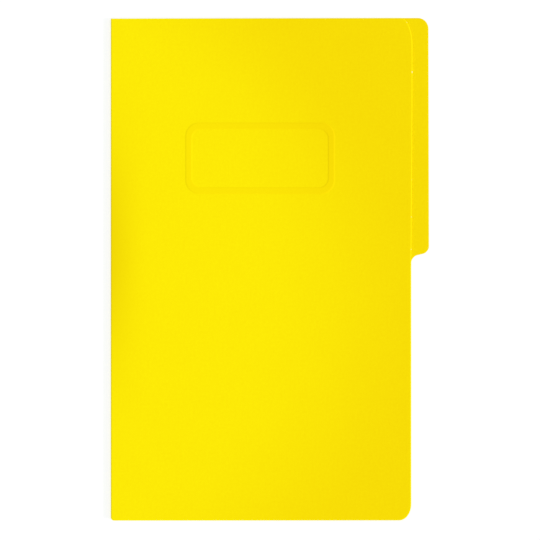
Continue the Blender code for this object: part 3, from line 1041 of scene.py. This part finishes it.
def paper_sweep(studio):
    """White paper, seen with a lightened shadow and with a glow that makes it white beyond the shadow."""
    material, tree, shader = new_material("white paper sweep")
    output = tree.nodes["Material Output"]
    tree.nodes.remove(shader)
    seen = seen_directly(tree)
    given_back = opaque(studio.floor, FLOOR_BOUNCE)
    tones = {SHARE: seen, ONE: given_back, OTHER: opaque(studio.floor, FLOOR_SHADOW)}
    paper = add(tree, "BsdfDiffuse", {"Color": add(tree, "Mix", tones, data_type="RGBA")})
    glow = add(tree, "Math", {0: seen, 1: FLOOR_WHITE - FLOOR_SHADOW}, operation="MULTIPLY")
    light = add(tree, "Emission", {"Color": opaque(studio.floor), "Strength": glow})
    feed(tree, output, {"Surface": add(tree, "AddShader", {0: paper, 1: light})})
    return material


def studio_floor(studio):
    """The floor: a flat square just under the folder."""
    mesh = bpy.data.meshes.new("floor")
    half = FLOOR_HALF
    corners = [(-half, -half), (half, -half), (half, half), (-half, half)]
    mesh.from_pydata([(*corner, -FLOOR_BELOW) for corner in corners], [], [(0, 1, 2, 3)])
    mesh.materials.append(paper_sweep(studio))
    floor = bpy.data.objects.new("floor", mesh)
    bpy.context.scene.collection.objects.link(floor)


def studio_room(studio):
    """The room's even light, which the camera, mirrors and glass see as plain white."""
    world = bpy.data.worlds.new("room")
    bpy.context.scene.world = world
    world.use_nodes = True
    tree = world.node_tree
    tree.nodes.clear()
    even = add(tree, "Background", {"Color": opaque(studio.room), "Strength": ROOM_LIGHT})
    white = add(tree, "Background", {"Color": opaque(studio.floor), "Strength": 1.0})
    room = add(tree, "MixShader", {0: seen_directly(tree), 1: even, 2: white})
    add(tree, "OutputWorld", {"Surface": room})


def studio_lamps(studio):
    """A soft low light from the right, and a soft oval pool of light over the left of the cover.

    The share of the written colour that a level surface shows is, under a sun, the sun's strength times the
    sine of its elevation, over pi, and under a spot, its power over the square of 2 pi times its height.
    """
    side = bpy.data.lights.new("low side light", "SUN")
    side.energy = math.pi * SIDE_LIGHT / math.sin(SIDE_ELEVATION)
    side.angle = SIDE_SOFTNESS
    side.color = studio.side
    low = bpy.data.objects.new("low side light", side)
    low.rotation_euler = (0, math.pi / 2 - SIDE_ELEVATION, SIDE_AZIMUTH)
    pool = bpy.data.lights.new("soft pool light", "SPOT")
    height = POOL_PLACE[2]
    pool.energy = POOL_LIGHT * (2 * math.pi * height) ** 2
    pool.spot_size = 2 * math.atan(POOL_REACH[1] / height)
    pool.spot_blend = POOL_BLEND
    pool.shadow_soft_size = POOL_SOFTNESS
    pool.color = studio.pool
    over = bpy.data.objects.new("soft pool light", pool)
    over.location = POOL_PLACE
    over.rotation_euler = (0, 0, POOL_TURN)
    over.scale = (POOL_REACH[0] / POOL_REACH[1], 1, 1)
    over.visible_glossy = False
    for lamp in (low, over):
        bpy.context.scene.collection.objects.link(lamp)


def studio_camera(studio):
    """A long lens straight above the folder."""
    lens = bpy.data.cameras.new("camera")
    lens.lens = lens.sensor_width * studio.camera_height / studio.frame_width
    camera = bpy.data.objects.new("camera", lens)
    camera.location = (studio.camera_x, studio.camera_y, studio.camera_height)
    bpy.context.scene.collection.objects.link(camera)
    bpy.context.scene.camera = camera


class FOLDER_OT_back_board(bpy.types.Operator):
    """Builds the back cover with its tab and the lower half of the spine"""

    bl_idname = "folder.back_board"
    bl_label = "Back cover board"

    def execute(self, context):
        scene = context.scene
        board = scene.folder_board
        obj = back_board(board, calendered_pressboard(scene.folder_finish))
        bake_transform(obj)
        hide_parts("back_cover", "spine_panel")
        return {"FINISHED"}


class FOLDER_OT_front_board(bpy.types.Operator):
    """Builds the front cover with its title frame and the spine's upper half, in the back cover's board"""

    bl_idname = "folder.front_board"
    bl_label = "Front cover board"

    def execute(self, context):
        scene = context.scene
        board = scene.folder_board
        obj = front_board(board, scene.folder_title, bpy.data.materials["calendered pressboard"])
        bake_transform(obj)
        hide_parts("front_cover", "spine_panel")
        return {"FINISHED"}


class FOLDER_OT_patch(bpy.types.Operator):
    """Builds the patch that is glued over the fastener's strip"""

    bl_idname = "folder.patch"
    bl_label = "Glued patch"

    def execute(self, context):
        scene = context.scene
        obj = glued_patch(scene.folder_fastener, patch_board(scene.folder_finish))
        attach(obj, "back")
        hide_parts("bond_patch")
        return {"FINISHED"}


class FOLDER_OT_fastener(bpy.types.Operator):
    """Builds the tinplate strip with its prongs, the compressor bar and the two sliders"""

    bl_idname = "folder.fastener"
    bl_label = "Tinplate fastener"

    def execute(self, context):
        sizes = context.scene.folder_fastener
        tin = rolled_tinplate(context.scene.folder_finish)
        pieces = [
            (prong_strip(sizes, tin), "back", "fastener_strip"),
            (ease_edges(press_bar(sizes, tin), sizes.edge_bevel), "back", "compressor_bar"),
        ]
        for end in ("upper", "lower"):
            lock = slider(f"{end}_slider", f"slider_{end}", sizes, tin)
            pieces.append((ease_edges(lock, sizes.edge_bevel), f"{end}_lock", f"slider_{end}"))
        for obj, body, node in pieces:
            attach(obj, body)
            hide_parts(node)
        return {"FINISHED"}


class FOLDER_OT_studio(bpy.types.Operator):
    """Builds the floor, the light and the camera"""

    bl_idname = "folder.studio"
    bl_label = "Studio"

    def execute(self, context):
        studio = context.scene.folder_studio
        studio_floor(studio)
        studio_room(studio)
        studio_lamps(studio)
        studio_camera(studio)
        context.scene.view_settings.view_transform = "Standard"
        return {"FINISHED"}


class FOLDER_PT_looks(bpy.types.Panel):
    """Lists the folder's operators"""

    bl_idname = "FOLDER_PT_looks"
    bl_label = "Fastener folder"
    bl_space_type = "VIEW_3D"
    bl_region_type = "UI"
    bl_category = "Folder"

    def draw(self, context):
        for operator in OPERATORS:
            self.layout.operator(operator.bl_idname)


SETTINGS = {
    "folder_board": FolderBoard,
    "folder_title": FolderTitle,
    "folder_fastener": FolderFastener,
    "folder_finish": FolderFinish,
    "folder_studio": FolderStudio,
}
OPERATORS = (
    FOLDER_OT_back_board,
    FOLDER_OT_front_board,
    FOLDER_OT_patch,
    FOLDER_OT_fastener,
    FOLDER_OT_studio,
)
CLASSES = (*SETTINGS.values(), *OPERATORS, FOLDER_PT_looks)


def register():
    """Registers the classes and gives each scene the folder's settings."""
    for item in CLASSES:
        bpy.utils.register_class(item)
    for name, group in SETTINGS.items():
        setattr(bpy.types.Scene, name, PointerProperty(type=group))


def unregister():
    """Takes the settings and the classes away again."""
    for name in SETTINGS:
        delattr(bpy.types.Scene, name)
    for item in reversed(CLASSES):
        bpy.utils.unregister_class(item)


def main():
    """Builds every piece and the studio."""
    register()
    bpy.ops.folder.back_board()
    bpy.ops.folder.front_board()
    bpy.ops.folder.patch()
    bpy.ops.folder.fastener()
    bpy.ops.folder.studio()


if __name__ == "__main__":
    main()
